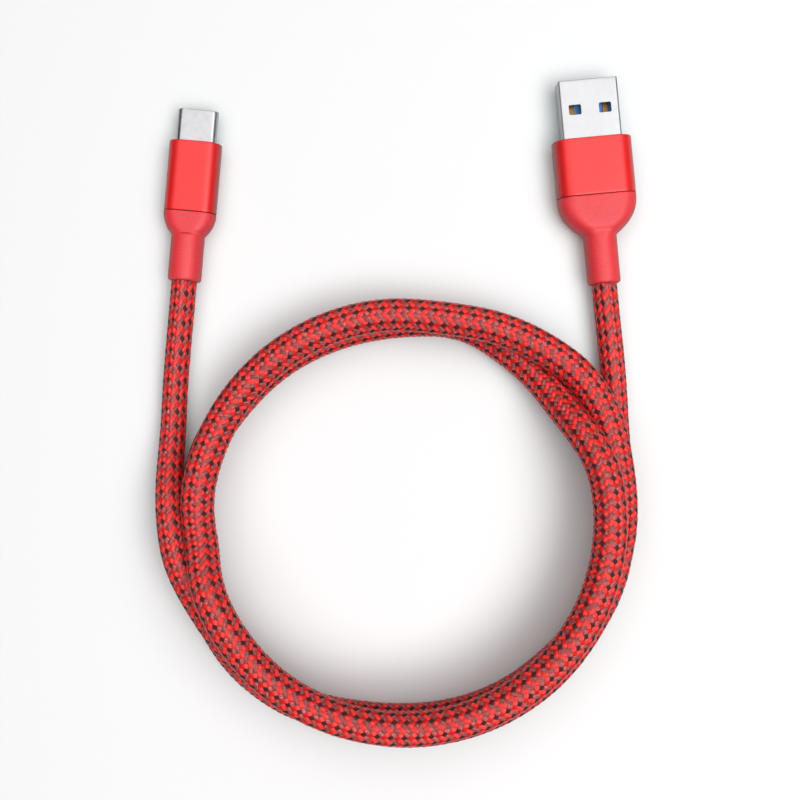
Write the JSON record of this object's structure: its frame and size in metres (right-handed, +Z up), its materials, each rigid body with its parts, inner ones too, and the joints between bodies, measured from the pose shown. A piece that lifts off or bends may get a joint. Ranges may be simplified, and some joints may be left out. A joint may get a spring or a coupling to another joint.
{
  "type": "charging cable",
  "caption": "Braided charging and data cable with a USB-A plug and a USB-C plug, lying in a loose loop with both plugs pointing the same way.",
  "frame": {"origin": "under the middle of the two plugs, on the plane the cable lies on", "axes": "+Z up, +Y the way both plugs point, +X from the USB-C plug to the USB-A plug"},
  "size_m": [0.0971, 0.1339, 0.0193],
  "materials": {
    "red_braid": "woven nylon sleeve, bright and dark red yarns with charcoal flecks",
    "shell_steel": "satin nickel-plated steel",
    "blue_plastic": "moulded, satin",
    "gold_contacts": "gold plated",
    "red_aluminium": "anodised red, satin",
    "rose_rubber": "soft elastomer, fine matte grain",
    "white_plastic": "moulded",
    "black_plastic": "moulded",
    "green_board": "solder mask",
    "tinned_ferrule": "tinned",
    "grey_jacket": "extruded jacket"
  },
  "bodies": {
    "cable": {"cord_sleeve": "red_braid", "usb_a_boot": "rose_rubber", "usb_a_circuit_board": "green_board", "usb_a_contact_dminus": "gold_contacts", "usb_a_contact_dplus": "gold_contacts", "usb_a_contact_gnd": "gold_contacts", "usb_a_contact_vbus": "gold_contacts", "usb_a_crimp_ferrule": "tinned_ferrule", "usb_a_housing": "red_aluminium", "usb_a_inner_mold": "white_plastic", "usb_a_jacket_end": "grey_jacket", "usb_a_pullup_resistor": "black_plastic", "usb_a_shell": "shell_steel", "usb_a_tongue": "blue_plastic", "usb_c_boot": "rose_rubber", "usb_c_circuit_board": "green_board", "usb_c_crimp_ferrule": "tinned_ferrule", "usb_c_housing": "red_aluminium", "usb_c_inner_mold": "white_plastic", "usb_c_insulator": "black_plastic", "usb_c_jacket_end": "grey_jacket", "usb_c_shell": "shell_steel"},
    "usb_a_superspeed_springs": {"usb_a_contact_gnd_drain": "gold_contacts", "usb_a_contact_ssrx_minus": "gold_contacts", "usb_a_contact_ssrx_plus": "gold_contacts", "usb_a_contact_sstx_minus": "gold_contacts", "usb_a_contact_sstx_plus": "gold_contacts"},
    "usb_c_upper_springs": {"usb_c_contact_a10_rx": "gold_contacts", "usb_c_contact_a11_rx": "gold_contacts", "usb_c_contact_a12_gnd": "gold_contacts", "usb_c_contact_a1_gnd": "gold_contacts", "usb_c_contact_a2_tx": "gold_contacts", "usb_c_contact_a3_tx": "gold_contacts", "usb_c_contact_a4_vbus": "gold_contacts", "usb_c_contact_a5_cc": "gold_contacts", "usb_c_contact_a6_dplus": "gold_contacts", "usb_c_contact_a7_dminus": "gold_contacts", "usb_c_contact_a8_sbu": "gold_contacts", "usb_c_contact_a9_vbus": "gold_contacts"},
    "usb_c_lower_springs": {"usb_c_contact_b10_rx": "gold_contacts", "usb_c_contact_b11_rx": "gold_contacts", "usb_c_contact_b12_gnd": "gold_contacts", "usb_c_contact_b1_gnd": "gold_contacts", "usb_c_contact_b2_tx": "gold_contacts", "usb_c_contact_b3_tx": "gold_contacts", "usb_c_contact_b4_vbus": "gold_contacts", "usb_c_contact_b5_vconn": "gold_contacts", "usb_c_contact_b8_sbu": "gold_contacts", "usb_c_contact_b9_vbus": "gold_contacts"},
    "usb_c_latch_arm_left": {"usb_c_latch_left": "shell_steel"},
    "usb_c_latch_arm_right": {"usb_c_latch_right": "shell_steel"}
  },
  "joints": [
    {"name": "usb_a_superspeed_flex", "type": "hinge", "parent": "cable", "child": "usb_a_superspeed_springs", "pos_m": [0.03905, 0.00793, 0.00345], "axis": [-0.9958, -0.0913, 0], "range_deg": [0, 7], "stiffness_Nm_per_rad": 0.002},
    {"name": "usb_c_upper_flex", "type": "hinge", "parent": "cable", "child": "usb_c_upper_springs", "pos_m": [-0.0415, 0.00873, 0.004], "axis": [0.9963, -0.0858, 0], "range_deg": [0, 2.5], "stiffness_Nm_per_rad": 0.002},
    {"name": "usb_c_lower_flex", "type": "hinge", "parent": "cable", "child": "usb_c_lower_springs", "pos_m": [-0.0415, 0.00873, 0.00276], "axis": [-0.9963, 0.0858, 0], "range_deg": [0, 2.5], "stiffness_Nm_per_rad": 0.002},
    {"name": "usb_c_latch_flex_left", "type": "hinge", "parent": "cable", "child": "usb_c_latch_arm_left", "pos_m": [-0.04502, 0.00667, 0.00338], "axis": [0, 0, 1], "range_deg": [0, 2.2], "stiffness_Nm_per_rad": 0.004},
    {"name": "usb_c_latch_flex_right", "type": "hinge", "parent": "cable", "child": "usb_c_latch_arm_right", "pos_m": [-0.03839, 0.0061, 0.00338], "axis": [0, 0, -1], "range_deg": [0, 2.2], "stiffness_Nm_per_rad": 0.004}
  ]
}
